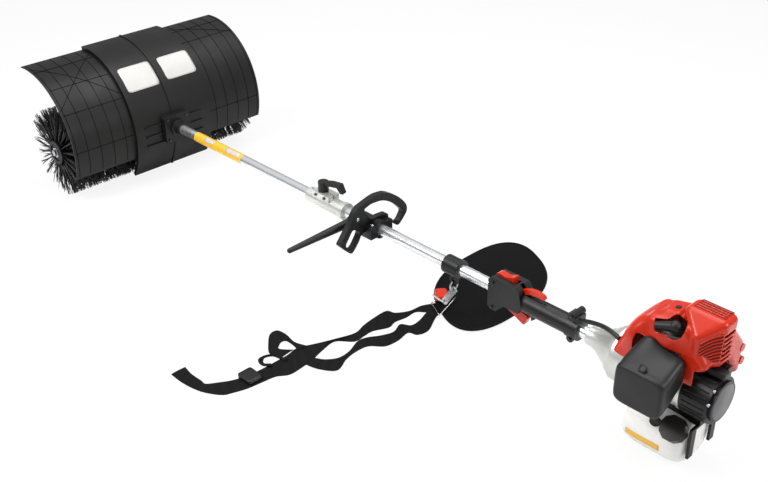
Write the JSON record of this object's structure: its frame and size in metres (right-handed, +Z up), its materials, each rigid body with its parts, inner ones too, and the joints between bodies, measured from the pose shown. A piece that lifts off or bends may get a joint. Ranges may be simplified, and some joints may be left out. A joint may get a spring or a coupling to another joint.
{
  "type": "power brush sweeper",
  "caption": "Engine-driven rotary brush sweeper on a straight split boom: guarded brush roller with worm gearbox at one end, two-stroke engine at the other, handles, throttle grip and harness.",
  "frame": {"origin": "floor under the middle of the bounding box", "axes": "+X along the boom from the brush to the engine, +Y away from the air filter side, +Z up"},
  "size_m": [1.964, 0.9256, 0.3625],
  "materials": {
    "guard_plastic": "moulded matte black",
    "bristle_nylon": "extruded black bristle",
    "cast_alloy": "die-cast, satin",
    "tube_aluminium": "drawn, bright",
    "steel": "bright",
    "bronze": "machined",
    "bush_plastic": "self-lubricating",
    "red_plastic": "glossy orange-red",
    "charcoal_plastic": "fine grain",
    "black_rubber": "moulded",
    "tank_plastic": "translucent white",
    "black_cloth": "woven"
  },
  "bodies": {
    "machine": {"guard_wing_left": "guard_plastic", "guard_wing_right": "guard_plastic", "guard_band_left": "guard_plastic", "guard_band_right": "guard_plastic", "guard_bracket": "guard_plastic", "gearbox_housing": "cast_alloy", "gearbox_cover": "cast_alloy", "gearbox_bearings": "steel", "lower_tube": "tube_aluminium", "upper_tube": "tube_aluminium", "coupler_body": "cast_alloy", "shaft_bushes": "bush_plastic", "loop_handle": "guard_plastic", "handle_clamp": "guard_plastic", "barrier_bar": "guard_plastic", "machine_screws": "steel", "hanger_clamp": "guard_plastic", "harness_hardware": "steel", "quick_release": "red_plastic", "hip_pad": "black_cloth", "harness_webbing": "black_cloth", "grip_shell_left": "guard_plastic", "grip_shell_right": "guard_plastic", "lever_pins": "steel", "throttle_conduit": "black_rubber", "clutch_housing": "cast_alloy", "crankcase": "cast_alloy", "engine_cylinder": "cast_alloy", "spark_plug": "steel", "spark_boot": "black_rubber", "engine_cover": "red_plastic", "carburettor": "cast_alloy", "air_filter_cover": "charcoal_plastic", "muffler": "steel", "starter_housing": "guard_plastic", "fuel_tank": "tank_plastic", "engine_stand": "guard_plastic"},
    "brush": {"output_shaft": "steel", "worm_wheel": "bronze", "brush_core_left": "guard_plastic", "brush_core_right": "guard_plastic", "bristles_left": "bristle_nylon", "bristles_right": "bristle_nylon", "brush_bolts": "steel"},
    "drive": {"worm": "steel", "drive_shaft_lower": "steel", "drive_shaft_upper": "steel", "clutch_drum": "steel"},
    "crank": {"crankshaft": "steel", "flywheel": "cast_alloy", "clutch_shoes": "steel"},
    "piston": {"piston": "tube_aluminium", "connecting_rod": "steel"},
    "trigger": {"throttle_trigger": "red_plastic"},
    "lockout": {"lockout_lever": "red_plastic"},
    "switch": {"stop_switch": "red_plastic"},
    "knob": {"coupler_knob": "guard_plastic"},
    "cap": {"fuel_cap": "guard_plastic"},
    "pulley": {"starter_pulley": "charcoal_plastic"},
    "pull_grip": {"starter_grip": "black_rubber"}
  },
  "joints": [
    {"name": "brush_spin", "type": "hinge", "parent": "machine", "child": "brush", "pos_m": [-0.86, 0.08472, 0.122], "axis": [0, 1, 0], "continuous": true},
    {"name": "drive_spin", "type": "hinge", "parent": "machine", "child": "drive", "pos_m": [-0.86, 0.08472, 0.157], "axis": [1, 0, 0], "continuous": true},
    {"name": "crank_spin", "type": "hinge", "parent": "machine", "child": "crank", "pos_m": [0.881, 0.08472, 0.157], "axis": [1, 0, 0], "continuous": true},
    {"name": "piston_stroke", "type": "slide", "parent": "machine", "child": "piston", "axis": [0, 0, 1], "range_m": [0, 0.032]},
    {"name": "trigger_pull", "type": "hinge", "parent": "machine", "child": "trigger", "pos_m": [0.494, 0.08472, 0.1379], "axis": [0, -1, 0], "range_deg": [0, 12], "stiffness_Nm_per_rad": 0.4, "springref_deg": -17.19},
    {"name": "lockout_press", "type": "hinge", "parent": "machine", "child": "lockout", "pos_m": [0.53, 0.08472, 0.181], "axis": [0, 1, 0], "range_deg": [0, 12], "stiffness_Nm_per_rad": 0.2, "springref_deg": -17.19},
    {"name": "stop_switch_slide", "type": "slide", "parent": "machine", "child": "switch", "axis": [1, 0, 0], "range_m": [0, 0.007]},
    {"name": "coupler_knob_turn", "type": "hinge", "parent": "machine", "child": "knob", "pos_m": [-0.084, 0.08472, 0.184], "axis": [0, 0, 1], "continuous": true},
    {"name": "fuel_cap_turn", "type": "hinge", "parent": "machine", "child": "cap", "pos_m": [0.9235, 0.04672, 0.079], "axis": [0, -0.7431, 0.6691], "continuous": true},
    {"name": "starter_pulley_turn", "type": "hinge", "parent": "machine", "child": "pulley", "pos_m": [0.956, 0.08472, 0.157], "axis": [1, 0, 0], "range_deg": [0, 1336], "stiffness_Nm_per_rad": 0.02, "springref_deg": -343.77},
    {"name": "starter_grip_pull", "type": "slide", "parent": "machine", "child": "pull_grip", "axis": [0, -1, 0], "range_m": [0, 0.7]}
  ],
  "couplings": [
    {"joint": "brush_spin", "follows": "drive_spin", "ratio": -0.027778},
    {"joint": "starter_grip_pull", "follows": "starter_pulley_turn", "m_per_rad": 0.03}
  ]
}
